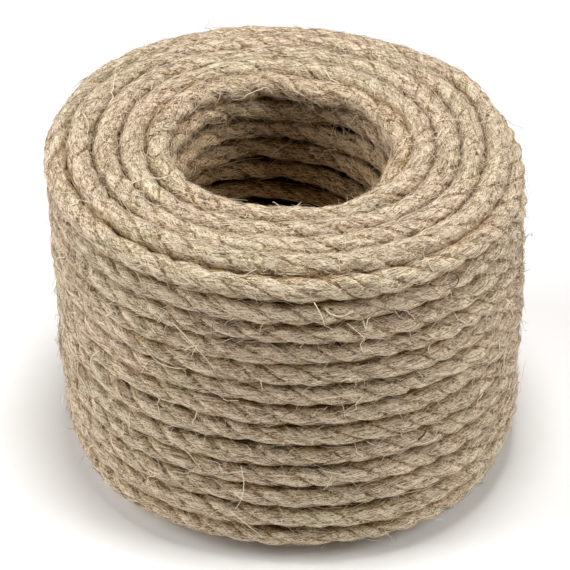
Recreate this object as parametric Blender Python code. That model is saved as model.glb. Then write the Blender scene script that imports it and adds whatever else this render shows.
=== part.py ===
"""A roll of three-strand sisal rope, wound in layers into a short hollow cylinder that stands on its end.

Metres, +Z up along the winding's axis. The origin is under the middle of the roll, on the surface.
One solid holds the wound form: each ridge of its wall is one turn of rope, and the ridges are one
continuous winding that climbs the outside, crosses the top towards the bore, goes down the bore and
comes back out along the foot.
"""

import math

import bmesh
import bpy

MM = 0.001

# The rope, and how closely its turns lie.
ROPE_DIAMETER = 6.0 * MM
CREST = 0.46 * ROPE_DIAMETER      # the crown of a turn above the line through the turns' centres
GROOVE = 0.16 * ROPE_DIAMETER     # the valley between two turns above the same line
CROWN_HALF_WIDTH = 0.2            # of a turn's pitch: the crown is blunt, as pressed rope is

# The winding seen in cross-section, one row for each place where its line of turns bends.
# place, radius of the turns' centres, height of the turns' centres, turns since the row before
WINDING = (
    ("outer foot", 55.4 * MM, 6.9 * MM, 0),
    ("outer low", 55.9 * MM, 12.8 * MM, 1),
    ("outer middle", 55.0 * MM, 42.5 * MM, 5),
    ("outer rim", 55.6 * MM, 79.3 * MM, 6.25),
    ("rim crossing", 52.5 * MM, 80.4 * MM, 0.5),
    ("top outside", 49.5 * MM, 81.0 * MM, 0.5),
    ("bore rim", 30.9 * MM, 81.0 * MM, 3),
    ("over the edge", 30.0 * MM, 80.6 * MM, 0.25),
    ("into the bore", 29.2 * MM, 79.4 * MM, 0.25),
    ("bore throat", 30.6 * MM, 75.6 * MM, 0.5),
    ("bore middle", 31.8 * MM, 42.5 * MM, 5),
    ("bore foot", 31.8 * MM, 2.7 * MM, 6),
    ("foot", 50.2 * MM, 2.7 * MM, 3),
    ("outer foot", 55.4 * MM, 6.9 * MM, 0.75),
)
TURNS = round(sum(turns for _, _, _, turns in WINDING))
HEIGHT = 84.0 * MM
START_AZIMUTH = -math.pi / 2      # where the winding comes out of the foot, at the front
LEAN = -3.3 * MM                  # how far the top of the roll has shifted along X
# The plan is not quite round: it is pressed a little square, and is slightly deeper than it is wide.
WIDTH_LESS = 0.0065
SQUARENESS = 0.0087
# Places where the outside stands out or is pressed in.
# place, azimuth, spread of azimuth, height, spread of height, how far out
BULGES = (
    ("right side", math.radians(-5), math.radians(55), 51.0 * MM, 20.0 * MM, 1.8 * MM),
    ("left foot", math.radians(195), math.radians(30), 12.0 * MM, 14.0 * MM, -1.7 * MM),
    ("front foot", math.radians(-65), math.radians(60), 14.0 * MM, 18.0 * MM, 0.6 * MM),
)
BORE_TILT = 0.11                  # slope, down towards +X, of the turns in the middle of the bore
FOOT_HEIGHT = 0.0                 # everything below is pressed flat by the roll's weight

SEGMENTS = 48                     # round the axis
POINTS_PER_TURN = 3               # two on the crown, one in the groove

ROPE_COLOUR = (0.53, 0.41, 0.28, 1.0)


def clear_scene():
    for obj in list(bpy.data.objects):
        bpy.data.objects.remove(obj, do_unlink=True)


def rope_material():
    material = bpy.data.materials.new("sisal_rope")
    material.use_nodes = True
    shader = material.node_tree.nodes["Principled BSDF"]
    shader.inputs["Base Color"].default_value = ROPE_COLOUR
    shader.inputs["Roughness"].default_value = 0.9
    shader.inputs["Metallic"].default_value = 0.0
    return material


def line_of_turns(turn):
    """(radius, height) of the turns' centres after this many turns from the outer foot."""
    left = turn % TURNS
    for before, after in zip(WINDING, WINDING[1:]):
        turns = after[3]
        if left <= turns:
            part = left / turns
            radius = before[1] + part * (after[1] - before[1])
            height = before[2] + part * (after[2] - before[2])
            return radius, height
        left -= turns
    raise ValueError("the winding table is not closed")


def outward(turn):
    """Unit direction out of the wall at this turn, square to the line of turns, eased round the edges."""
    reach = 0.5
    behind = line_of_turns(turn - reach)
    ahead = line_of_turns(turn + reach)
    along = (ahead[0] - behind[0], ahead[1] - behind[1])
    length = math.hypot(*along)
    return along[1] / length, -along[0] / length


def bulge(azimuth, height):
    """How far the outside stands out here from its even form."""
    size = 0
    for _, way, spread, middle, height_spread, most in BULGES:
        away = (azimuth - way + math.pi) % (2 * math.pi) - math.pi
        size += most * math.exp(-(away / spread) ** 2 - ((height - middle) / height_spread) ** 2)
    return size


def surface_point(turn, azimuth, rise):
    """A point of the wall, this far out from the line of turns."""
    radius, height = line_of_turns(turn)
    out_radius, out_height = outward(turn)
    if out_radius > 0:
        rise += bulge(azimuth, height) * out_radius
    radius += rise * out_radius
    radius *= 1 - WIDTH_LESS * math.cos(2 * azimuth) - SQUARENESS * math.cos(4 * azimuth)
    height = max(height + rise * out_height, FOOT_HEIGHT)
    shift = LEAN * (height / HEIGHT - 0.5)
    if out_radius < 0:
        middle_of_bore = math.sin(math.pi * min(height / HEIGHT, 1)) ** 2
        height += BORE_TILT * out_radius * middle_of_bore * radius * math.cos(azimuth)
    return radius * math.cos(azimuth) + shift, radius * math.sin(azimuth), height


def wound_wall(mesh):
    """The closed wall. Once round the axis, each row of points meets the row one turn further on."""
    places = ((-CROWN_HALF_WIDTH, CREST), (CROWN_HALF_WIDTH, CREST), (0.5, GROOVE))
    rows = TURNS * POINTS_PER_TURN
    grid = []
    for segment in range(SEGMENTS):
        part = segment / SEGMENTS
        azimuth = START_AZIMUTH - 2 * math.pi * part
        column = []
        for turn in range(TURNS):
            for offset, rise in places:
                point = surface_point(turn + part + offset, azimuth, rise)
                column.append(mesh.verts.new(point))
        grid.append(column)
    for segment in range(SEGMENTS):
        last = segment == SEGMENTS - 1
        here = grid[segment]
        beside = grid[0] if last else grid[segment + 1]
        step = POINTS_PER_TURN if last else 0
        for row in range(rows):
            up = (row + 1) % rows
            corners = (here[row], here[up], beside[(up + step) % rows], beside[(row + step) % rows])
            mesh.faces.new(corners)


def middle_on_the_origin(mesh):
    """Shifts the roll along X and Y until its box is centred on the axis of the frame."""
    for axis in (0, 1):
        values = [vert.co[axis] for vert in mesh.verts]
        middle = (min(values) + max(values)) / 2
        for vert in mesh.verts:
            vert.co[axis] -= middle


def rope_roll():
    mesh = bmesh.new()
    wound_wall(mesh)
    middle_on_the_origin(mesh)
    bmesh.ops.triangulate(mesh, faces=mesh.faces[:])
    bmesh.ops.recalc_face_normals(mesh, faces=mesh.faces[:])
    data = bpy.data.meshes.new("rope_roll")
    mesh.to_mesh(data)
    mesh.free()
    data.shade_smooth()
    data.materials.append(rope_material())
    roll = bpy.data.objects.new("rope_roll", data)
    bpy.context.scene.collection.objects.link(roll)
    return roll


clear_scene()
rope_roll()
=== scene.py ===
import math

import bpy
import numpy as np
from mathutils import Matrix, Vector


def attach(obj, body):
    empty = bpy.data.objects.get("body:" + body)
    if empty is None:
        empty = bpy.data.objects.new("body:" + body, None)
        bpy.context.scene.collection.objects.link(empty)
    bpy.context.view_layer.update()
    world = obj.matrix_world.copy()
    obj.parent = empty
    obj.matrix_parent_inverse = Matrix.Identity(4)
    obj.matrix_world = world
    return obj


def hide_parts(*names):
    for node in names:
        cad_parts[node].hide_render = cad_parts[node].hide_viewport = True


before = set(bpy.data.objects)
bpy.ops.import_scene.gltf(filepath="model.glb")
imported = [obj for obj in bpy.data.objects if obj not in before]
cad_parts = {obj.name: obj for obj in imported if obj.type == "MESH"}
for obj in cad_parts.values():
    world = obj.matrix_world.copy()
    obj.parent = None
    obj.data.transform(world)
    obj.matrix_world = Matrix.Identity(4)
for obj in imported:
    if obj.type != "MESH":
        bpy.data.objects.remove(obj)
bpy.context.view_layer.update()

MM = 0.001


# The line that the rope follows. The roll is wound on a mandrel, layer on layer, and the mandrel is then
# drawn out. What shows is one skin of turns: up the outside, over the top towards the bore, down the bore
# and out again along the foot, clockwise all the way as seen from above.

ROPE_DIAMETER = 6.0 * MM
ROLL_HEIGHT = 84.0 * MM
START_AZIMUTH = -math.pi / 2
LEAN = -3.3 * MM                  # how far along X the top lies from the foot
WIDTH_LESS = 0.0065               # how much narrower than round it is along X, and wider along Y
SQUARENESS = 0.0087               # how much it is drawn in along X and Y, and fuller between them

# place, radius of the turns' centres, height of the turns' centres, turns since the row before, how full
# the rope is there, where 1 is its even thickness
WINDING = (
    ("outer foot", 55.4 * MM, 6.9 * MM, 0, 1.02),
    ("outer low", 55.9 * MM, 12.8 * MM, 1, 0.985),
    ("outer middle", 55.0 * MM, 42.5 * MM, 5, 0.985),
    ("outer rim", 55.6 * MM, 79.3 * MM, 6.25, 1.02),
    ("rim crossing", 52.5 * MM, 80.4 * MM, 0.5, 1.07),
    ("top outside", 49.5 * MM, 81.0 * MM, 0.5, 1.10),
    ("bore rim", 30.9 * MM, 81.0 * MM, 3, 1.10),
    ("over the edge", 30.0 * MM, 80.6 * MM, 0.25, 1.08),
    ("into the bore", 29.2 * MM, 79.4 * MM, 0.25, 1.08),
    ("bore throat", 30.6 * MM, 75.6 * MM, 0.5, 1.00),
    ("bore middle", 31.8 * MM, 42.5 * MM, 5, 0.79),
    ("bore foot", 31.8 * MM, 3.0 * MM, 6, 1.00),
    ("foot", 50.2 * MM, 3.0 * MM, 3, 1.08),
    ("outer foot", 55.4 * MM, 6.9 * MM, 0.75, 1.02),
)
TURNS = round(sum(row[3] for row in WINDING))
POINTS_PER_TURN = 96
CORNER_EASE = 0.12                # of a turn: how far round a corner of the winding is eased
BORE_TILT = 0.11                  # how far the turns in the middle of the bore slope down to +X
SQUARE_OUT = 0.6                  # how much a wall faces square out, not just away from its turns
BORE_SHADE_FROM = 78.0 * MM             # below this height the bore takes a browner painted shade
BORE_SHADE_DEPTH = 40.0 * MM            # and this much lower it is fully so
FOOT_PALES = 36.0 * MM            # below this height the painted shade lightens again towards the foot
FOOT_BORE_SHADE = 0.3                   # down to this share
FRONT_THINNER = 0.05              # how much thinner the rope is on top at the front

# Places where the outside isn't round: azimuth and its spread in degrees, height and its spread, and
# how far it stands out.
BULGES = (
    ("right side", -5, 55, 51.0 * MM, 20.0 * MM, 1.8 * MM),
    ("left foot", 195, 30, 12.0 * MM, 14.0 * MM, -1.7 * MM),
    ("front foot", -65, 60, 14.0 * MM, 18.0 * MM, 0.6 * MM),
)

# Places where the rope leaves its even line: turn, half width in turns, how far out of the wall, how
# far on to the next turn.
KINKS = (
    ("last top turn sinks into the mouth", 16.34, 0.15, -1.3 * MM, 0.2 * MM),
    ("last top turn stands up", 16.54, 0.06, 1.2 * MM, 0.9 * MM),
    ("it dips into the bore", 16.63, 0.055, -1.7 * MM, 1.0 * MM),
    ("matted slope, first turn down", 17.30, 0.17, 1.2 * MM, 0.0 * MM),
    ("matted slope, second turn down", 18.30, 0.17, 2.0 * MM, 0.0 * MM),
    ("matted slope, third turn down", 19.30, 0.16, 1.6 * MM, 0.0 * MM),
    ("matted slope, fourth turn down", 20.30, 0.15, 0.8 * MM, 0.0 * MM),
    ("notch beside the bore", 16.215, 0.035, -1.9 * MM, 0.6 * MM),
    ("worn hollow", 15.74, 0.05, -0.8 * MM, 0.3 * MM),
    ("low stretch of the rim", 12.05, 0.14, -0.4 * MM, 0.0 * MM),
    ("last foot turn pressed outwards", 31.0, 0.45, 0.0 * MM, 1.1 * MM),
    ("foot turn inside it", 30.0, 0.45, 0.0 * MM, 0.5 * MM),
)

BORE_LOOSENESS = 1.7              # how much more the turns wander in the bore

# How the turns wander, as waves round the roll that creep round it as the winding goes on.
# waves round the roll, size across the turns, size out of the wall, times round in the whole winding
WANDER = (
    (2, 0.16 * MM, 0.10 * MM, 3),
    (3, 0.14 * MM, 0.12 * MM, -5),
    (4, 0.13 * MM, 0.12 * MM, 13),
    (5, 0.12 * MM, 0.12 * MM, 7),
    (7, 0.12 * MM, 0.12 * MM, -14),
    (10, 0.09 * MM, 0.10 * MM, 11),
    (15, 0.06 * MM, 0.08 * MM, -13),
)


def line_of_turns(turn):
    """Radius and height of the turns' centres after this many turns from the outer foot, and fullness."""
    at = np.cumsum([row[3] for row in WINDING])
    eased = np.zeros((3, len(turn)))
    for ease in (-CORNER_EASE, 0, CORNER_EASE):
        left = np.mod(turn + ease, TURNS)
        for kind, column in enumerate((1, 2, 4)):
            eased[kind] += np.interp(left, at, [row[column] for row in WINDING]) / 3
    return eased


def rope_line(turn):
    """Centre line of the rope, a point for each of these turns."""
    azimuth = START_AZIMUTH - 2 * math.pi * turn
    radius, height, _ = line_of_turns(turn)
    behind = line_of_turns(turn - 0.5)
    ahead = line_of_turns(turn + 0.5)
    along = np.hypot(ahead[0] - behind[0], ahead[1] - behind[1])
    out_radius = (ahead[1] - behind[1]) / along
    out_height = -(ahead[0] - behind[0]) / along
    out = np.zeros(len(turn))
    across = np.zeros(len(turn))
    for waves, size_across, size_out, creep in WANDER:
        phase = waves * azimuth + creep * 2 * math.pi * turn / TURNS
        looser = 1 + (BORE_LOOSENESS - 1) * np.clip(-out_radius, 0, 1)
        out += looser * size_out * np.sin(phase)
        across += looser * size_across * np.cos(phase)
    for _, middle, half_width, size_out, size_across in KINKS:
        away = np.mod(turn - middle + TURNS / 2, TURNS) - TURNS / 2
        kink = np.cos(np.clip(away / half_width, -1, 1) * math.pi / 2) ** 2
        out += size_out * kink
        across += size_across * kink
    for _, way, spread, middle, height_spread, size_out in BULGES:
        turned = np.mod(np.degrees(azimuth) - way + 180, 360) - 180
        outside = np.clip(out_radius, 0, 1)
        away = (turned / spread) ** 2 + ((height - middle) / height_spread) ** 2
        out += size_out * outside * np.exp(-away)
    radius = radius + out * out_radius - across * out_height
    height = height + out * out_height + across * out_radius
    radius = radius * (1 - WIDTH_LESS * np.cos(2 * azimuth) - SQUARENESS * np.cos(4 * azimuth))
    shift = LEAN * (height / ROLL_HEIGHT - 0.5)
    inside = np.clip(-out_radius, 0, 1) * np.sin(np.clip(height / ROLL_HEIGHT, 0, 1) * math.pi) ** 2
    height = height - BORE_TILT * inside * radius * np.cos(azimuth)
    return np.stack([radius * np.cos(azimuth) + shift, radius * np.sin(azimuth), height], axis=-1)


def directions(vectors):
    return vectors / np.linalg.norm(vectors, axis=-1, keepdims=True)


def rope_between(first, last, points_per_turn):
    """The rope between these counts of turns: its centre line and, for each point, the way to the turns
    on either side, the way that the wall faces there, how full the rope is, and how far it lies in the
    bore and how much painted shade it takes there."""
    turn = np.linspace(first, last, round((last - first) * points_per_turn) + 1)
    points = rope_line(turn)
    before = rope_line(turn - 1) - points
    after = rope_line(turn + 1) - points
    run = directions(np.gradient(points, axis=0))
    walls = directions(np.cross(after - before, run))
    walls = directions(walls * SQUARE_OUT - directions(before) - directions(after))
    drop = line_of_turns(turn - 0.5)[1] - line_of_turns(turn + 0.5)[1]
    inside = np.clip(drop, 0, ROPE_DIAMETER) / ROPE_DIAMETER
    height = points[:, 2]
    aged = inside * np.clip((BORE_SHADE_FROM - height) / BORE_SHADE_DEPTH, 0, 1)
    aged = aged * np.clip(height / FOOT_PALES, FOOT_BORE_SHADE, 1)
    frontness = np.clip(-np.sin(START_AZIMUTH - 2 * math.pi * turn), 0, 1) ** 2
    full = line_of_turns(turn)[2] - FRONT_THINNER * (frontness * np.clip(walls[:, 2], 0, 1))
    return {"points": points, "before": before, "after": after, "wall": walls, "full": full,
            "inner": inside, "aged": aged}


class Value:
    """One output of a node. Sums, products and powers of it add Math nodes to its tree."""

    def __init__(self, tree, socket=None):
        self.tree = tree
        self.socket = socket

    def add(self, kind, settings=None, inputs=None, output=0):
        """Any other node: its settings come first, then the values or links of its sockets."""
        node = self.tree.nodes.new(kind)
        for name, setting in (settings or {}).items():
            if name == "stops":
                ramp = node.color_ramp
                while len(ramp.elements) < len(setting):
                    ramp.elements.new(0.5)
                for element, (place, colour) in zip(ramp.elements, setting):
                    element.position = place
                    element.color = (*colour, 1.0)
            else:
                setattr(node, name, setting)
        for name, value in (inputs or {}).items():
            if isinstance(value, Value):
                self.tree.links.new(value.socket, node.inputs[name])
            else:
                node.inputs[name].default_value = value
        return Value(self.tree, node.outputs[output] if node.outputs else None)

    def other(self, output):
        """Another output of the same node."""
        return Value(self.tree, self.socket.node.outputs[output])

    def math(self, operation, *terms):
        return self.add("ShaderNodeMath", {"operation": operation}, dict(enumerate(terms)))

    def vector(self, operation, *terms, output="Vector"):
        settings = {"operation": operation}
        return self.add("ShaderNodeVectorMath", settings, dict(enumerate(terms)), output)

    def dot(self, one, two):
        return self.vector("DOT_PRODUCT", one, two, output="Value")

    def scaled(self, vector, by):
        """This vector, times a value that changes from place to place."""
        product = self.vector("SCALE", vector)
        self.tree.links.new(by.socket, product.socket.node.inputs["Scale"])
        return product

    def part(self, vector, axis):
        """The X, Y or Z of a vector."""
        return self.add("ShaderNodeSeparateXYZ", None, {0: vector}, axis)

    def __add__(self, other):
        return self.math("ADD", self, other)

    __radd__ = __add__

    def __sub__(self, other):
        return self.math("SUBTRACT", self, other)

    def __rsub__(self, other):
        return self.math("SUBTRACT", other, self)

    def __mul__(self, other):
        return self.math("MULTIPLY", self, other)

    __rmul__ = __mul__

    def __truediv__(self, other):
        return self.math("DIVIDE", self, other)

    def __pow__(self, other):
        return self.math("POWER", self, other)


# The rope itself. It is undyed sisal: fibres spun into yarns, yarns twisted into three strands, and the
# strands laid together right-handed. Fibres on the surface run nearly along the rope, and the grooves
# between the strands wind round it. The skin is made in five runs that join end to end.

LAY_LENGTH = 24.3 * MM            # one full turn of a strand round the rope
STRANDS = 3
STRAND_GROOVE = 0.16              # depth of the groove between strands, of the rope's radius
CROWN_POWER = 0.8                 # below 1, strands are broad and the grooves between them narrow
ROPE_RADIUS = 3.02 * MM           # a little over half the diameter, as pressed turns touch
RING_POINTS = 24
STEP_ALONG = 1.0 * MM
YARN_RELIEF = 0.22 * MM           # how far yarns stand out of the strand or lie in it
YARN_SWELLINGS = (480.0, 480.0, 120.0)   # in each metre, both ways across the rope and along it

# The lay is uneven and the rope swells and thins: waves in the whole length, where they start, size.
LAY_WAVES = ((17, 0.0, 0.5), (41, 2.0, 0.35), (211, 1.0, 0.25), (389, 4.0, 0.20), (613, 5.0, 0.10))
SWELLING_WAVES = ((53, 1.0, 0.012), (97, 4.0, 0.010))

PALE_FIBRE = (0.81, 0.70, 0.565)
STRAW = (0.53, 0.425, 0.30)
SHADED_STRAW = (0.30, 0.215, 0.13)
BARK_BROWN = (0.10, 0.062, 0.03)


def socket_in(tree, name, kind, default=None):
    socket = tree.interface.new_socket(name=name, in_out="INPUT", socket_type=kind)
    if default is not None:
        socket.default_value = default
    return socket


def stored(at, geometry, name, kind, value, domain="POINT"):
    settings = {"data_type": kind, "domain": domain}
    inputs = {"Geometry": geometry, "Name": name, "Value": value}
    return at.add("GeometryNodeStoreNamedAttribute", settings, inputs)


def named(at, name, kind):
    return at.add("GeometryNodeInputNamedAttribute", {"data_type": kind}, {"Name": name})


def moved(at, geometry, how, by):
    """The same points at this Position, or moved by this Offset."""
    return at.add("GeometryNodeSetPosition", None, {"Geometry": geometry, how: by})


def pressed_flat(at, geometry, floor_height):
    """The same points, none lower than this: the roll's weight presses what lies under it flat."""
    place = at.add("GeometryNodeInputPosition")
    split = at.add("ShaderNodeSeparateXYZ", None, {0: place})
    raised = at.add("ShaderNodeCombineXYZ", None, {
        "X": split, "Y": split.other("Y"), "Z": at.math("MAXIMUM", split.other("Z"), floor_height)})
    return moved(at, geometry, "Position", raised)


def sum_of_waves(at, whole, waves):
    total = 0.0
    for count, shift, size in waves:
        total = total + at.math("SINE", whole * count + shift) * size
    return total


def unit_circle(at, sides):
    """The outline of a round cross-section."""
    size = {"Resolution": sides, "Radius": 1.0}
    return at.add("GeometryNodeCurvePrimitiveCircle", {"mode": "RADIUS"}, size, "Curve")


def end_tree(at, geometry, material):
    """Smooth shading, real geometry and its material, and so out of the tree."""
    geometry = at.add("GeometryNodeSetShadeSmooth", None, {"Geometry": geometry, "Shade Smooth": True})
    geometry = at.add("GeometryNodeRealizeInstances", None, {"Geometry": geometry})
    geometry = at.add("GeometryNodeSetMaterial", None, {"Geometry": geometry, "Material": material})
    at.add("NodeGroupOutput", None, {"Geometry": geometry})


def noise(at, place, scale, detail, distortion=0.0):
    """Cloudy noise, 0 to 1, with this many clouds for each metre of place."""
    look = {"Vector": place, "Scale": scale, "Detail": detail, "Distortion": distortion}
    return at.add("ShaderNodeTexNoise", {"noise_dimensions": "3D"}, look)


def rope_tree():
    """Lays a three-strand rope along a line of points."""
    tree = bpy.data.node_groups.new("lay_rope", "GeometryNodeTree")
    socket_in(tree, "Geometry", "NodeSocketGeometry")
    socket_in(tree, "Rope Radius", "NodeSocketFloat", ROPE_RADIUS)
    socket_in(tree, "Lay Length", "NodeSocketFloat", LAY_LENGTH)
    socket_in(tree, "Strand Groove", "NodeSocketFloat", STRAND_GROOVE)
    socket_in(tree, "Step Along", "NodeSocketFloat", STEP_ALONG)
    socket_in(tree, "Yarn Relief", "NodeSocketFloat", YARN_RELIEF)
    socket_in(tree, "Start Length", "NodeSocketFloat", 0.0)
    socket_in(tree, "Whole Length", "NodeSocketFloat", 1.0)
    socket_in(tree, "Material", "NodeSocketMaterial")
    tree.interface.new_socket(name="Geometry", in_out="OUTPUT", socket_type="NodeSocketGeometry")
    at = Value(tree)
    given = at.add("NodeGroupInput")
    radius = given.other("Rope Radius")

    # The centre line, evenly stepped, with its length kept for the lay and for the fibres.
    line = at.add("GeometryNodeMeshToCurve", None, {"Mesh": given})
    line = at.add("GeometryNodeSetCurveNormal", {"mode": "Z_UP"}, {"Curve": line})
    line = at.add("GeometryNodeResampleCurve", {"mode": "LENGTH"},
                  {"Curve": line, "Length": given.other("Step Along")})
    length = at.add("GeometryNodeSplineParameter", output="Length") + given.other("Start Length")
    whole = length / given.other("Whole Length") * (2 * math.pi)
    tilt = length / given.other("Lay Length") * (2 * math.pi) + sum_of_waves(at, whole, LAY_WAVES)
    line = at.add("GeometryNodeSetCurveTilt", None, {"Curve": line, "Tilt": tilt})
    line = stored(at, line, "length", "FLOAT", length)
    line = stored(at, line, "middle", "FLOAT_VECTOR", at.add("GeometryNodeInputPosition"))
    line = stored(at, line, "run", "FLOAT_VECTOR", at.add("GeometryNodeInputTangent"))
    swell = sum_of_waves(at, whole, SWELLING_WAVES)
    line = stored(at, line, "full", "FLOAT", named(at, "full", "FLOAT") * (1 + swell))

    # The cross-section: three rounded strands, pressed together.
    ring = unit_circle(at, RING_POINTS)
    place = at.add("GeometryNodeInputPosition")
    split = at.add("ShaderNodeSeparateXYZ", None, {0: place})
    angle = at.math("ARCTAN2", split.other("Y"), split)
    crown = at.math("ABSOLUTE", at.math("COSINE", angle * (STRANDS / 2))) ** CROWN_POWER
    rise = 1 - given.other("Strand Groove") * (1 - crown)
    ring = stored(at, ring, "crown", "FLOAT", crown)
    ring = stored(at, ring, "ring", "FLOAT_VECTOR", place)
    ring = moved(at, ring, "Position", at.scaled(place, rise * radius))
    rope = at.add("GeometryNodeCurveToMesh", None, {
        "Curve": line, "Profile Curve": ring, "Scale": named(at, "full", "FLOAT"), "Fill Caps": True})

    # Where each point lies among the fibres: across the rope, in a frame that doesn't turn, and along.
    middle = named(at, "middle", "FLOAT_VECTOR")
    across = at.vector("SUBTRACT", at.add("GeometryNodeInputPosition"), middle)
    side = at.vector("CROSS_PRODUCT", named(at, "run", "FLOAT_VECTOR"), (0.0, 0.0, 1.0))
    fibre = at.add("ShaderNodeCombineXYZ", None, {
        "X": at.dot(across, (0.0, 0.0, 1.0)), "Y": at.dot(across, side), "Z": named(at, "length", "FLOAT")})
    rope = stored(at, rope, "fibre", "FLOAT_VECTOR", fibre)
    outwards = at.vector("NORMALIZE", across)
    rope = stored(at, rope, "open", "FLOAT", at.dot(outwards, named(at, "wall", "FLOAT_VECTOR")))
    rope = stored(at, rope, "under", "FLOAT", at.dot(outwards, (0.0, 0.0, -1.0)))
    nearest = at.math("MINIMUM", *[
        at.vector("DISTANCE", across, named(at, side_turn, "FLOAT_VECTOR"), output="Value")
        for side_turn in ("before", "after")])
    rope = stored(at, rope, "clear", "FLOAT", nearest - radius * named(at, "full", "FLOAT"))
    spot = at.add("ShaderNodeSeparateXYZ", None, {0: named(at, "ring", "FLOAT_VECTOR")})
    around = at.math("ARCTAN2", spot.other("Y"), spot)
    strand = at.math("FLOOR", around / (2 * math.pi / STRANDS) + 0.5)
    strand = at.math("WRAP", strand, STRANDS - 0.5, -0.5)
    rope = stored(at, rope, "strand", "FLOAT", strand, "FACE")

    # Yarns swell and sink along the strands.
    stretched = at.vector("MULTIPLY", named(at, "fibre", "FLOAT_VECTOR"), YARN_SWELLINGS)
    yarn = noise(at, stretched, 1.0, 1.0) - 0.5
    lift = at.scaled(at.add("GeometryNodeInputNormal"), yarn * given.other("Yarn Relief") * 2.0)
    rope = pressed_flat(at, moved(at, rope, "Offset", lift), 0.0)
    end_tree(at, rope, given.other("Material"))
    return tree


def attribute(at, name, output="Fac"):
    """What is stored on the mesh under this name."""
    return at.add("ShaderNodeAttribute", {"attribute_name": name}, output=output)


def spread(at, value, low, high, at_low, at_high, smooth=True):
    """This value, drawn out so that it goes from at_low to at_high between low and high."""
    return at.add("ShaderNodeMapRange", {"interpolation_type": "SMOOTHSTEP" if smooth else "LINEAR"}, {
        "Value": value, "From Min": low, "From Max": high, "To Min": at_low, "To Max": at_high})


def multiplied(at, colour, by, share=1.0):
    """A colour times another, as fully as this share says."""
    mix = {"Factor": share, 6: colour, 7: by}
    return at.add("ShaderNodeMix", {"data_type": "RGBA", "blend_type": "MULTIPLY"}, mix, 2)


# Width and length of a fibre, detail, place in the noise, and slant from the rope's run in radians.
FINE_FIBRES = (0.30 * MM, 4.4 * MM, 2.0, 0.0, 0.12)
CROSSING_FIBRES = (0.42 * MM, 2.0 * MM, 1.0, 13.0, -0.7)
WHOLE_YARNS = (1.2 * MM, 10.0 * MM, 1.0, 31.0, 0.0)
STRAY_THREADS = (0.60 * MM, 3.5 * MM, 1.0, 47.0, 0.6)
WAVINESS = 1.2
STRAND_APART = 7.3                # how far apart in the noise two strands lie

FELT_SIZE = 0.9 * MM              # of the felted spots, where fibres are rubbed into each other
FELT_EVERYWHERE = 0.06            # their share of the tone
FELT_ON_TOP = 0.18                # and how much more of it on top, where turns are packed
HUE_PATCHES = 48.0                # for each metre, as are the three that follow
WORN_GROOVES = 260.0              # patches where the groove between strands is filled and gets no painted shade
OPEN_GAPS = 62.0                  # patches where the painted shade in the gap between two turns is wider
SHUT_GAPS = 42.0                  # patches where fibres close the gap and its painted shade is lighter
GAP_STRETCH = (1.0, 1.0, 2.2)     # gaps are flatter than they are long

ROSY = (1.07, 0.95, 0.96, 1)
GREENISH = (0.92, 1.0, 0.89, 1)
# painted shade: the brown that the bore's fibre is multiplied by, most where it lies deepest
BORE_SHADE_BROWN = (0.84, 0.61, 0.32, 1)
NO_SHADE = (1.0, 1.0, 1.0)
HALF_SHADE = (0.63, 0.53, 0.38)
DEEP_SHADE = (0.27, 0.18, 0.075)
DEEP_BORE_SHADE_SHARE = 0.75                    # share of the brown painted shade where the bore lies deep
ALL_BORE_SHADE_SHARE = 0.25            # and a further share all over the bore


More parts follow.
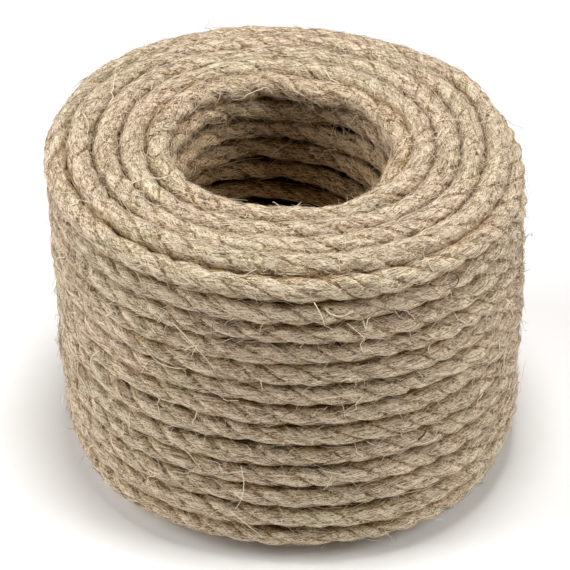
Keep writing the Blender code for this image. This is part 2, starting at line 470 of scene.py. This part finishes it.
def sisal():
    """Undyed sisal: fine fibres side by side, a few pale, a few brown, with painted shade where they lie
    deep.
    """
    material = bpy.data.materials.new("sisal_fibre")
    material.use_nodes = True
    tree = material.node_tree
    at = Value(tree)
    fibre = attribute(at, "fibre", "Vector")
    wall = attribute(at, "wall", "Vector")
    strand = attribute(at, "strand")
    inner = attribute(at, "inner")
    aged = attribute(at, "aged")
    under = at.math("MAXIMUM", attribute(at, "under"), 0.0)
    facing_up = at.math("MAXIMUM", at.part(wall, "Z"), 0.0)
    beside = at.math("ABSOLUTE", at.part(wall, "X")) * (1 - inner)
    place = at.add("ShaderNodeTexCoord", output="Object")
    along = at.part(fibre, "Z")

    def streaks(width, length, detail, shift, slant):
        """Noise drawn out along the fibres, 0 to 1. Each strand has its own fibres."""
        drawn = fibre
        if slant:
            drawn = at.add("ShaderNodeVectorRotate", {"rotation_type": "Z_AXIS"},
                           {"Vector": fibre, "Angle": along * (math.tan(slant) / ROPE_RADIUS)})
        drawn = at.vector("MULTIPLY", drawn, (1 / width, 1 / width, 1 / length))
        look = {"Vector": drawn, "W": strand * STRAND_APART + shift, "Scale": 1.0, "Detail": detail,
                "Distortion": WAVINESS}
        return at.add("ShaderNodeTexNoise", {"noise_dimensions": "4D"}, look)

    def thread(fibres, level, width):
        """A thin line, 0 to 1, where the noise passes this level: one fibre among the others."""
        return spread(at, at.math("ABSOLUTE", fibres - level), 0.0, width, 1.0, 0.0)

    fine = streaks(*FINE_FIBRES)
    crossing = streaks(*CROSSING_FIBRES)
    yarn = streaks(*WHOLE_YARNS)
    stray = streaks(*STRAY_THREADS)
    felt = noise(at, fibre, 1 / FELT_SIZE, 3.0, 0.8)

    # The tone of the fibres round a middle of 0.5: a share of each kind, then a few pale threads and a few
    # dark ones. It has more contrast in the bore.
    matted = FELT_EVERYWHERE + facing_up * FELT_ON_TOP
    tone = fine * (0.60 - matted) + crossing * 0.22 + yarn * 0.18 + felt * matted
    tone = tone + thread(stray, 0.50, 0.018) * 0.09 - thread(crossing, 0.45, 0.02) * 0.11
    tone = (tone - 0.5) * (1 + inner * 0.65 + aged * 0.35) + 0.5 + inner * 0.02
    tones = ((0.375, BARK_BROWN), (0.44, SHADED_STRAW), (0.495, STRAW), (0.555, PALE_FIBRE))
    colour = at.add("ShaderNodeValToRGB", {"stops": tones}, {"Fac": tone})
    hue = at.add("ShaderNodeMix", {"data_type": "RGBA"},
                 {"Factor": noise(at, place, HUE_PATCHES, 2.0), 6: ROSY, 7: GREENISH}, 2)
    colour = multiplied(at, colour, hue)

    # The grooves between the strands get a painted shade, but not where they are worn or felted over.
    frayed = attribute(at, "crown") + (fine - 0.5) * 0.6 + (felt - 0.5) * 1.0
    groove_shade_and_dip = spread(at, frayed, 0.0, 0.42, 0.62, 0.0)
    groove_shade_and_dip = groove_shade_and_dip * spread(at, noise(at, place, WORN_GROOVES, 1.0), 0.36, 0.56, 0.0, 1.0, smooth=False)

    # The gaps between the turns get a deeper painted shade, as does the rope's underside. How clear of them
    # a
    # place lies is counted in millimetres: less on the rope's underside, and uneven as the fibres are. Here
    # and there fibres shut a gap.
    gap = noise(at, at.vector("MULTIPLY", place, GAP_STRETCH), OPEN_GAPS, 2.0)
    clear = attribute(at, "clear") / MM + attribute(at, "open") * 1.3
    clear = clear - under * 1.5 - inner * (under * 1.4) + (inner - aged) * 0.5
    clear = clear + (yarn - 0.5) * 1.2 + (felt - 0.5) * 1.2 + (gap - 0.5) * 3.0
    painted_gap_shade = spread(at, clear, 0.0, 3.0, 1.0, 0.0)
    shut = spread(at, noise(at, place, SHUT_GAPS, 1.0), 0.38, 0.58, 0.45, 1.0, smooth=False)
    # The painted shade in the gaps is lighter on top and at the sides, where the lamps shine into them.
    painted_gap_shade = painted_gap_shade * (1 - facing_up * 0.45) * (1 - beside * 0.65) * shut

    # Painted shade in the bore: browner and darker where it lies deep, and a little all over it.
    colour = multiplied(at, colour, BORE_SHADE_BROWN, aged * DEEP_BORE_SHADE_SHARE + inner * ALL_BORE_SHADE_SHARE)
    # Painted shade in the strand grooves and the gaps between turns, from none through half to deep.
    shades = ((0.0, NO_SHADE), (0.45, HALF_SHADE), (1.0, DEEP_SHADE))
    painted_shade = at.math("MAXIMUM", groove_shade_and_dip, painted_gap_shade)
    colour = multiplied(at, colour, at.add("ShaderNodeValToRGB", {"stops": shades}, {"Fac": painted_shade}))
    relief = fine * 0.35 + crossing * 0.3 + felt * 0.4 + yarn * 0.15 - groove_shade_and_dip * 0.4
    bump = at.add("ShaderNodeBump", None, {"Strength": 1.0, "Distance": 0.32 * MM, "Height": relief})
    shader = tree.nodes["Principled BSDF"]
    tree.links.new(colour.socket, shader.inputs["Base Color"])
    tree.links.new(bump.socket, shader.inputs["Normal"])
    shader.inputs["Roughness"].default_value = 0.78
    shader.inputs["Specular IOR Level"].default_value = 0.25
    return material


sisal_fibre = sisal()
lay_rope = rope_tree()


def made_by_nodes(name, mesh, tree, values):
    """The plain mesh that a tree of nodes makes from this one, as a new object."""
    base = bpy.data.objects.new(name, mesh)
    bpy.context.scene.collection.objects.link(base)
    modifier = base.modifiers.new(tree.name, "NODES")
    modifier.node_group = tree
    for item in tree.interface.items_tree:
        if item.in_out == "INPUT" and item.name in values:
            modifier[item.identifier] = values[item.name]
    graph = bpy.context.evaluated_depsgraph_get()
    made = bpy.data.meshes.new_from_object(base.evaluated_get(graph))
    base.modifiers.clear()
    base.data = made
    made.name = name
    return base


def line_mesh(name, rope):
    """A line of points that carries what is known of the rope at each of them."""
    points = rope["points"]
    edges = [(i, i + 1) for i in range(len(points) - 1)]
    mesh = bpy.data.meshes.new(name)
    mesh.from_pydata([tuple(point) for point in points], edges, [])
    for word in ("before", "after", "wall"):
        kept = mesh.attributes.new(word, "FLOAT_VECTOR", "POINT")
        kept.data.foreach_set("vector", rope[word].ravel())
    for word in ("full", "inner", "aged"):
        mesh.attributes.new(word, "FLOAT", "POINT").data.foreach_set("value", rope[word])
    return mesh


def length_between(first, last):
    """Length of rope between these two counts of turns."""
    points = rope_line(np.linspace(first, last, round((last - first) * POINTS_PER_TURN) + 1))
    return float(np.linalg.norm(np.diff(points, axis=0), axis=1).sum())


FIRST_TURN = -1.5                 # the two ends of the skin meet here, under the foot
whole_length = length_between(FIRST_TURN, FIRST_TURN + TURNS)
lay_length = whole_length / round(whole_length / LAY_LENGTH)


def run_of_rope(name, first, last, strand_groove):
    """The rope between these two counts of turns. Its strands are pressed together more in some runs."""
    start_length = length_between(FIRST_TURN, first) if first > FIRST_TURN else 0.0
    values = {"Start Length": start_length, "Whole Length": whole_length, "Lay Length": lay_length,
              "Strand Groove": strand_groove, "Material": sisal_fibre}
    line = line_mesh(name, rope_between(first, last, POINTS_PER_TURN))
    piece = made_by_nodes(name, line, lay_rope, values)
    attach(piece, "root")
    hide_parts("rope_roll")
    return piece


HALFWAY_UP = 6.25                 # counts of turns at which one run ends and the next begins
OUTER_RIM = 12.25
BORE_RIM = 16.25
BORE_FOOT = 28.25
OUTSIDE_GROOVE = 0.25             # depth of the groove between strands in each run
PRESSED_GROOVE = 0.15
BORE_GROOVE = 0.20
outside_lower = run_of_rope("outside_lower_turns", FIRST_TURN, HALFWAY_UP, OUTSIDE_GROOVE)
outside_upper = run_of_rope("outside_upper_turns", HALFWAY_UP, OUTER_RIM, OUTSIDE_GROOVE)
top = run_of_rope("top_turns", OUTER_RIM, BORE_RIM, PRESSED_GROOVE)
bore = run_of_rope("bore_turns", BORE_RIM, BORE_FOOT, BORE_GROOVE)
foot = run_of_rope("foot_turns", BORE_FOOT, FIRST_TURN + TURNS, PRESSED_GROOVE)


# The buried layers. Under the skin lie three more layers of turns, of which nothing shows but deep shade
# between the turns of the skin. One closed ring of sheet, a little deeper than the middle of the turns,
# stands for them, with that shade painted on it in dark brown.

BURIED_POINTS_PER_TURN = 48
BURIED_DEPTH = 1.3 * MM           # deeper than the middle of the turns
BORE_MORE = 1.2 * MM              # deeper still in the bore, where the turns lie looser
NO_LIGHT = (0.010, 0.005, 0.002)
DIM_THREAD = (0.05, 0.028, 0.012)


def buried_sisal_painted_shade():
    """Painted shade for sisal that no light reaches: dark brown, with a few threads."""
    material = bpy.data.materials.new("buried_sisal_painted_shade")
    material.use_nodes = True
    at = Value(material.node_tree)
    place = at.add("ShaderNodeTexCoord", output="Object")
    thread = noise(at, at.vector("MULTIPLY", place, (1.0, 1.0, 6.0)), 500.0, 2.0)
    colour = at.add("ShaderNodeValToRGB", {"stops": ((0.4, NO_LIGHT), (0.8, DIM_THREAD))}, {"Fac": thread})
    shader = material.node_tree.nodes["Principled BSDF"]
    material.node_tree.links.new(colour.socket, shader.inputs["Base Color"])
    shader.inputs["Roughness"].default_value = 0.9
    shader.inputs["Specular IOR Level"].default_value = 0.1
    return material


count = TURNS * BURIED_POINTS_PER_TURN
skin = rope_between(0, TURNS, BURIED_POINTS_PER_TURN)
depth = BURIED_DEPTH + BORE_MORE * skin["aged"][:, None]
sunk = (skin["points"] - skin["wall"] * depth)[:count]
patches = []
for i in range(count):
    beside = (i + BURIED_POINTS_PER_TURN) % count
    patches.append((i, beside, (beside + 1) % count, (i + 1) % count))
buried_mesh = bpy.data.meshes.new("buried_turns")
buried_mesh.from_pydata([tuple(point) for point in sunk], [], patches)
buried_mesh.materials.append(buried_sisal_painted_shade())
buried = bpy.data.objects.new("buried_turns", buried_mesh)
bpy.context.scene.collection.objects.link(buried)
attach(buried, "root")
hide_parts("rope_roll")


# Fuzz. Ends of sisal fibres work loose all over the rope as it is spun, laid and wound. Most lie along
# it, some bridge the turns, and only the twist of the yarns that they come out of holds them.

HAIR_LENGTH = 4.2 * MM
HAIR_RADIUS = 0.075 * MM
HAIR_SPREAD = 0.45                # radians either side of the rope's run
HAIR_LIFT = 0.35                  # radians off the surface
HAIR_CURL = 1.6 * MM
HAIR_CLEARANCE = 0.05 * MM
HAIR_HUG = 0.68                   # how much of a hair's height above the rope is pressed down
HAIR_ROOT = 1.15                  # thickness of a hair at its root, of its radius
HAIR_THINS = 0.75                 # and how much thinner it is at its tip
SHORTEST_HAIR = 0.35              # of the hair length, and how much longer the longest are
LONGEST_MORE = 1.3
ON_COURSE = 0.86                  # chance that a hair keeps near the rope's run
OFF_COURSE = 1.2                  # radians that the others turn away from it
OPEN_SIDE = -0.05                 # hairs grow where the rope faces out of the wall more than this
CURL_SCALE = 180.0                # bends in each metre
CURLS_APART = 90.0                # how far apart in the noise two hairs may lie


def hair_tree():
    """Scatters loose fibre ends over a rope."""
    tree = bpy.data.node_groups.new("raise_fuzz", "GeometryNodeTree")
    socket_in(tree, "Geometry", "NodeSocketGeometry")
    socket_in(tree, "Hairs for Each Area", "NodeSocketFloat", 1.0)
    socket_in(tree, "Hair Length", "NodeSocketFloat", HAIR_LENGTH)
    socket_in(tree, "Hair Radius", "NodeSocketFloat", HAIR_RADIUS)
    socket_in(tree, "Spread", "NodeSocketFloat", HAIR_SPREAD)
    socket_in(tree, "Lift", "NodeSocketFloat", HAIR_LIFT)
    socket_in(tree, "Curl", "NodeSocketFloat", HAIR_CURL)
    socket_in(tree, "Hug", "NodeSocketFloat", HAIR_HUG)
    socket_in(tree, "Paleness", "NodeSocketFloat", 0.0)
    socket_in(tree, "Only Above", "NodeSocketFloat", 0.0)
    socket_in(tree, "Points On Hair", "NodeSocketInt", 3)
    socket_in(tree, "Seed", "NodeSocketInt", 1)
    socket_in(tree, "Material", "NodeSocketMaterial")
    tree.interface.new_socket(name="Geometry", in_out="OUTPUT", socket_type="NodeSocketGeometry")
    at = Value(tree)
    given = at.add("NodeGroupInput")
    seed = given.other("Seed")

    def chance(low, high, shift):
        return at.add("FunctionNodeRandomValue", {"data_type": "FLOAT"},
                      {2: low, 3: high, "Seed": seed + shift}, 1)

    on_open_side = at.math("GREATER_THAN", named(at, "open", "FLOAT"), OPEN_SIDE)
    root_height = at.part(at.add("GeometryNodeInputPosition"), "Z")
    high_enough = at.math("GREATER_THAN", root_height, given.other("Only Above"))
    density = given.other("Hairs for Each Area") * on_open_side * high_enough
    roots = at.add("GeometryNodeDistributePointsOnFaces", {"distribute_method": "RANDOM"},
                   {"Mesh": given, "Density": density, "Seed": seed})
    run = named(at, "run", "FLOAT_VECTOR")
    facing = at.add("FunctionNodeAxesToRotation", {"primary_axis": "Z", "secondary_axis": "X"},
                    {"Primary Axis": roots.other("Normal"), "Secondary Axis": run})
    swing = (chance(-1.0, 1.0, 1) + chance(-1.0, 1.0, 2)) * given.other("Spread")
    swing = swing + at.math("ROUND", chance(0.0, 1.0, 3)) * math.pi
    astray = at.math("GREATER_THAN", chance(0.0, 1.0, 4), ON_COURSE)
    swing = swing + astray * chance(-OFF_COURSE, OFF_COURSE, 5)
    turn = at.add("FunctionNodeAxisAngleToRotation", None, {"Axis": (0.0, 0.0, 1.0), "Angle": swing})
    raised = at.add("FunctionNodeAxisAngleToRotation", None,
                    {"Axis": (0.0, 1.0, 0.0), "Angle": chance(0.0, -1.0, 6) * given.other("Lift")})
    local = {"rotation_space": "LOCAL"}
    facing = at.add("FunctionNodeRotateRotation", local, {"Rotation": facing, "Rotate By": turn})
    facing = at.add("FunctionNodeRotateRotation", local, {"Rotation": facing, "Rotate By": raised})
    points = stored(at, roots, "hair", "FLOAT", chance(0.0, 1.0, 7) + given.other("Paleness"))
    straight = at.add("GeometryNodeCurvePrimitiveLine", {"mode": "POINTS"},
                      {"Start": (0.0, 0.0, 0.0), "End": (1.0, 0.0, 0.0)})
    straight = at.add("GeometryNodeResampleCurve", {"mode": "COUNT"},
                      {"Curve": straight, "Count": given.other("Points On Hair")})
    size = given.other("Hair Length") * (SHORTEST_HAIR + chance(0.0, 1.0, 8) ** 2.0 * LONGEST_MORE)
    hairs = at.add("GeometryNodeInstanceOnPoints", None, {
        "Points": points, "Instance": straight, "Rotation": facing,
        "Scale": at.add("ShaderNodeCombineXYZ", None, {"X": size, "Y": size, "Z": size})})
    hairs = at.add("GeometryNodeRealizeInstances", None, {"Geometry": hairs})

    # Each hair curls in its own way, more towards its tip, and then settles on the turns under it.
    along = at.add("GeometryNodeSplineParameter")
    place = at.add("GeometryNodeInputPosition")
    own = named(at, "hair", "FLOAT") * CURLS_APART
    curl = at.add("ShaderNodeTexNoise", {"noise_dimensions": "4D"},
                  {"Vector": place, "W": own, "Scale": CURL_SCALE, "Detail": 0.0}, "Color")
    curl = at.vector("SUBTRACT", curl, (0.5, 0.5, 0.5))
    hairs = moved(at, hairs, "Offset", at.scaled(curl, along * given.other("Curl") * 2.0))
    near = at.add("GeometryNodeProximity", {"target_element": "FACES"},
                  {"Geometry": given, "Sample Position": place})
    out = at.add("GeometryNodeSampleNearestSurface", {"data_type": "FLOAT_VECTOR"},
                 {"Mesh": given, "Value": at.add("GeometryNodeInputNormal"), "Sample Position": place})
    above = at.dot(at.vector("SUBTRACT", place, near), out)
    height = at.math("MAXIMUM", above * (1 - given.other("Hug")), HAIR_CLEARANCE)
    hairs = moved(at, hairs, "Position", at.vector("ADD", near, at.scaled(out, height)))
    hairs = pressed_flat(at, hairs, given.other("Hair Radius") * HAIR_ROOT)
    thick = given.other("Hair Radius") * (HAIR_ROOT - along * HAIR_THINS)
    hairs = at.add("GeometryNodeCurveToMesh", None, {
        "Curve": hairs, "Profile Curve": unit_circle(at, 3), "Scale": thick, "Fill Caps": True})
    end_tree(at, hairs, given.other("Material"))
    return tree


BLEACHED = (0.94, 0.83, 0.63)
LOOSE_BORE_SHADE_BROWN = (0.82, 0.58, 0.30, 1)
PALEST = 1.5                      # a hair this pale is past the last of the colours


def loose_fibre():
    """Single sisal fibres: mostly pale and glossy, some straw, a few brown, with painted shade in the bore.
    """
    material = bpy.data.materials.new("loose_fibre")
    material.use_nodes = True
    tree = material.node_tree
    at = Value(tree)
    stops = ((0.0, BARK_BROWN), (0.08, SHADED_STRAW), (0.2, STRAW), (0.45, PALE_FIBRE), (0.8, BLEACHED))
    colour = at.add("ShaderNodeValToRGB", {"stops": stops}, {"Fac": attribute(at, "hair") / PALEST})
    # Painted shade in the bore, as on the rope that the hairs grow from.
    painted_bore_shade = attribute(at, "aged") * DEEP_BORE_SHADE_SHARE + attribute(at, "inner") * ALL_BORE_SHADE_SHARE
    colour = multiplied(at, colour, LOOSE_BORE_SHADE_BROWN, painted_bore_shade)
    shader = tree.nodes["Principled BSDF"]
    tree.links.new(colour.socket, shader.inputs["Base Color"])
    shader.inputs["Roughness"].default_value = 0.55
    shader.inputs["Specular IOR Level"].default_value = 0.3
    return material


fuzz_fibre = loose_fibre()
raise_fuzz = hair_tree()


def fuzz_on(rope, name, hairs_for_each_area, seed, **other_values):
    """Loose hairs over one run of rope, so many for each square metre, as a piece of its own."""
    values = {"Hairs for Each Area": hairs_for_each_area, "Seed": seed, "Material": fuzz_fibre}
    values.update({word.replace("_", " ").title(): value for word, value in other_values.items()})
    piece = made_by_nodes(name, rope.data.copy(), raise_fuzz, values)
    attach(piece, "root")
    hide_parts("rope_roll")
    return piece


fuzz_on(outside_lower, "outside_lower_fuzz", 3.3e5, 11)
fuzz_on(outside_upper, "outside_upper_fuzz", 3.3e5, 12)
fuzz_on(top, "top_fuzz", 5.0e5, 13)
# The bore's fuzz is darker than the rest: painted shade, as on the bore's rope.
fuzz_on(bore, "bore_fuzz", 2.4e5, 14, paleness=-0.2)
fuzz_on(foot, "foot_fuzz", 8.0e4, 15)

# Curly ends and long fibres that have sprung out of the yarns and lie loose over the turns.
CURLY_SEED = 21
LOOSE_SEED = 31
CURLY = {"hair_length": 4.5 * MM, "hair_radius": 0.095 * MM, "spread": 1.2, "lift": 0.5, "curl": 3.0 * MM,
         "hug": 0.68, "points_on_hair": 6, "paleness": 0.1}
LOOSE = {"hair_length": 9.0 * MM, "hair_radius": 0.155 * MM, "spread": 1.2, "lift": 0.35, "curl": 5.0 * MM,
         "hug": 0.62, "points_on_hair": 9, "paleness": 0.5}
for rope, name, curly, loose in (
        (outside_lower, "outside_lower", 3.0e4, 8.0e3), (outside_upper, "outside_upper", 3.0e4, 8.0e3),
        (top, "top", 4.0e4, 5.0e3), (bore, "bore", 4.5e4, 5.0e3)):
    fuzz_on(rope, name + "_curly_fibres", curly, CURLY_SEED, **CURLY)
    fuzz_on(rope, name + "_loose_fibres", loose, LOOSE_SEED, **LOOSE)

# The mouth of the bore is rubbed by handling, and its fibres are matted over the turns.
fuzz_on(bore, "matted_mouth", 6.0e5, 41, hair_length=3.4 * MM, hair_radius=0.085 * MM, spread=1.5, lift=0.5,
        curl=2.6 * MM, hug=0.45, points_on_hair=4, only_above=66.0 * MM, paleness=0.1)


# Stray fibres. A few long ones have sprung out of the yarns, pale or dark, and each lies in its own
# curl. Real ones are single fibres of sisal, or a sliver of its bark, held by one end in a yarn. Here
# twelve of the fourteen stop short of the rope, by up to 2.5 mm, so nothing holds them.

STRAY_STEPS = 10
STRAY_SIDES = 5
STRAY_TIP = 0.55                  # thickness at the tip, of that at the root
ROOT_SUNK = 0.2 * MM              # how far the root is drawn in towards the rope
NEAR_TURN = 0.002                 # a step along the winding, to find which way the rope runs

# turn that it starts from, how far across towards the next turn, heading from the rope's run in degrees,
# length, how far it bends in degrees, height of its arch, thickness from the middle out, paleness
STRAYS = (
    ("long pale hair", 9.075, 6.7 * MM, 208, 17.0 * MM, 35, 1.2 * MM, 0.15 * MM, 1.3),
    ("its branch", 9.052, 2.0 * MM, 297, 5.3 * MM, -10, 0.8 * MM, 0.11 * MM, 1.2),
    ("pale hair by the rim", 11.98, -2.0 * MM, 237, 6.5 * MM, 20, 0.8 * MM, 0.12 * MM, 1.3),
    ("hooked hair by the rim", 11.973, -3.5 * MM, 240, 7.5 * MM, -95, 0.9 * MM, 0.12 * MM, 1.3),
    ("dark curl", 10.885, 4.0 * MM, 200, 6.0 * MM, 170, 0.8 * MM, 0.17 * MM, 0.0),
    ("dark end beside it", 10.88, 3.4 * MM, 215, 3.5 * MM, 30, 0.5 * MM, 0.17 * MM, 0.05),
    ("sliver of bark", 3.91, 0.6 * MM, 132, 2.9 * MM, 0, 0.3 * MM, 0.26 * MM, 0.0),
    ("curl at the mouth", 16.0, 1.3 * MM, 10, 5.0 * MM, 85, 0.7 * MM, 0.10 * MM, 0.5),
    ("curl that crosses it", 15.985, 1.5 * MM, 150, 4.5 * MM, -80, 0.7 * MM, 0.10 * MM, 0.4),
    ("long hair by the foot", 2.03, 10.5 * MM, 246, 15.0 * MM, 52, 1.2 * MM, 0.11 * MM, 1.1),
    ("hair along the foot", 1.038, 2.5 * MM, 205, 11.0 * MM, 35, 1.0 * MM, 0.13 * MM, 1.2),
    ("hair across the front", 6.98, 0.0 * MM, 150, 11.0 * MM, 45, 1.0 * MM, 0.12 * MM, 1.1),
    ("hair over the right side", 8.83, 0.0 * MM, 250, 9.0 * MM, -50, 1.0 * MM, 0.12 * MM, 1.1),
    ("hair over the left side", 5.14, 0.0 * MM, 70, 10.0 * MM, 60, 1.0 * MM, 0.12 * MM, 1.1),
)


def stray_path(turn, across, heading, length, bend, arch):
    """Points along one stray fibre, which follows the wall of turns that it lies over."""
    done = np.linspace(0, 1, STRAY_STEPS)
    way = np.radians(heading + bend * done)
    along = length * np.cumsum(np.cos(way)) / STRAY_STEPS
    over = across + length * np.cumsum(np.sin(way)) / STRAY_STEPS
    turns = turn + along / (2 * math.pi * line_of_turns(np.array([turn]))[0][0])
    run = directions(rope_line(turns + NEAR_TURN) - rope_line(turns - NEAR_TURN))
    wall = directions(np.cross(rope_line(turns + 1) - rope_line(turns - 1), run))
    out = ROPE_RADIUS + arch * np.sin(np.pi * (0.05 + 0.95 * done)) - ROOT_SUNK * (1 - done)
    return rope_line(turns) + wall * out[:, None] + np.cross(run, wall) * over[:, None]


def fibre_tree():
    """Gives lines of points the thickness that is stored on them."""
    tree = bpy.data.node_groups.new("draw_fibres", "GeometryNodeTree")
    socket_in(tree, "Geometry", "NodeSocketGeometry")
    socket_in(tree, "Sides", "NodeSocketInt", STRAY_SIDES)
    socket_in(tree, "Material", "NodeSocketMaterial")
    tree.interface.new_socket(name="Geometry", in_out="OUTPUT", socket_type="NodeSocketGeometry")
    at = Value(tree)
    given = at.add("NodeGroupInput")
    line = at.add("GeometryNodeMeshToCurve", None, {"Mesh": given})
    ring = unit_circle(at, given.other("Sides"))
    fibres = at.add("GeometryNodeCurveToMesh", None, {
        "Curve": line, "Profile Curve": ring, "Scale": named(at, "thick", "FLOAT"), "Fill Caps": True})
    end_tree(at, fibres, given.other("Material"))
    return tree


stray_points = np.concatenate([stray_path(*row[1:7]) for row in STRAYS])
stray_edges = [(i, i + 1) for i in range(len(stray_points) - 1) if (i + 1) % STRAY_STEPS]
stray_mesh = bpy.data.meshes.new("stray_fibres")
stray_mesh.from_pydata([tuple(point) for point in stray_points], stray_edges, [])
taper = np.tile(np.linspace(1.0, STRAY_TIP, STRAY_STEPS), len(STRAYS))
thickness = np.repeat([row[7] for row in STRAYS], STRAY_STEPS) * taper
paleness = np.repeat([row[8] for row in STRAYS], STRAY_STEPS)
stray_mesh.attributes.new("thick", "FLOAT", "POINT").data.foreach_set("value", thickness)
stray_mesh.attributes.new("hair", "FLOAT", "POINT").data.foreach_set("value", paleness)
stray_fibres = made_by_nodes("stray_fibres", stray_mesh, fibre_tree(), {"Material": fuzz_fibre})
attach(stray_fibres, "root")
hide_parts("rope_roll")


# The camera, a pale floor and plain soft light. The camera looks down at the roll from the front. One
# lamp hangs overhead, one stands at either side, and a faint warm card fills the front.

CAMERA_DISTANCE = 0.72
CAMERA_ELEVATION = math.radians(34.69)
CAMERA_ROLL = math.radians(1.55)
CAMERA_LENS = 183.0
AIM_HEIGHT = 42.0 * MM
CAMERA_SHIFT = (-0.0028, -0.0095)

lens = bpy.data.cameras.new("camera")
lens.sensor_width = 36.0
lens.lens = CAMERA_LENS
lens.shift_x, lens.shift_y = CAMERA_SHIFT
lens.clip_start = 0.01
camera = bpy.data.objects.new("camera", lens)
back = Vector((0, -math.cos(CAMERA_ELEVATION), math.sin(CAMERA_ELEVATION)))
turned = back.to_track_quat("Z", "Y").to_matrix().to_4x4() @ Matrix.Rotation(CAMERA_ROLL, 4, "Z")
camera.matrix_world = Matrix.Translation(back * CAMERA_DISTANCE + Vector((0, 0, AIM_HEIGHT))) @ turned
bpy.context.scene.collection.objects.link(camera)
bpy.context.scene.camera = camera
bpy.context.scene.view_settings.view_transform = "Standard"

FLOOR_REACH = 3.0
FLOOR_WHITE = (0.93, 0.93, 0.93, 1)
corners = [(x * FLOOR_REACH, y * FLOOR_REACH, 0) for x, y in ((-1, -1), (1, -1), (1, 1), (-1, 1))]
floor_mesh = bpy.data.meshes.new("floor")
floor_mesh.from_pydata(corners, [], [(0, 1, 2, 3)])
floor_paint = bpy.data.materials.new("floor_paint")
floor_paint.use_nodes = True
floor_shader = floor_paint.node_tree.nodes["Principled BSDF"]
floor_shader.inputs["Base Color"].default_value = FLOOR_WHITE
floor_shader.inputs["Roughness"].default_value = 0.9
floor_shader.inputs["Specular IOR Level"].default_value = 0.0
floor_mesh.materials.append(floor_paint)
floor = bpy.data.objects.new("floor", floor_mesh)
bpy.context.scene.collection.objects.link(floor)

WHITE = (1.0, 1.0, 1.0)
WARM_CARD = (1.0, 0.78, 0.48)
WARM_ROOM = (1.0, 0.76, 0.42, 1)
ROOM_STRENGTH = 0.03
# name, place, width, height, watts, colour
LIGHTS = (
    ("overhead", (0.0, 0.0, 0.90), 0.22, 0.22, 5.25, WHITE),
    ("left_window", (-0.80, -0.13, 0.50), 0.5, 0.7, 6.8, WHITE),
    ("right_window", (0.80, -0.13, 0.50), 0.5, 0.7, 5.4, WHITE),
    ("front_card", (0.0, -0.95, 0.35), 0.7, 0.4, 0.3, WARM_CARD),
)
for name, place, width, height, watts, colour in LIGHTS:
    light = bpy.data.lights.new(name, "AREA")
    light.shape = "RECTANGLE"
    light.size = width
    light.size_y = height
    light.energy = watts
    light.color = colour
    lamp = bpy.data.objects.new(name, light)
    aim = Vector((0, 0, AIM_HEIGHT)) - Vector(place)
    lamp.location = place
    lamp.rotation_euler = aim.to_track_quat("-Z", "Y").to_euler()
    bpy.context.scene.collection.objects.link(lamp)

world = bpy.data.worlds.new("room")
world.use_nodes = True
room = world.node_tree.nodes["Background"]
room.inputs["Color"].default_value = WARM_ROOM
room.inputs["Strength"].default_value = ROOM_STRENGTH
bpy.context.scene.world = world
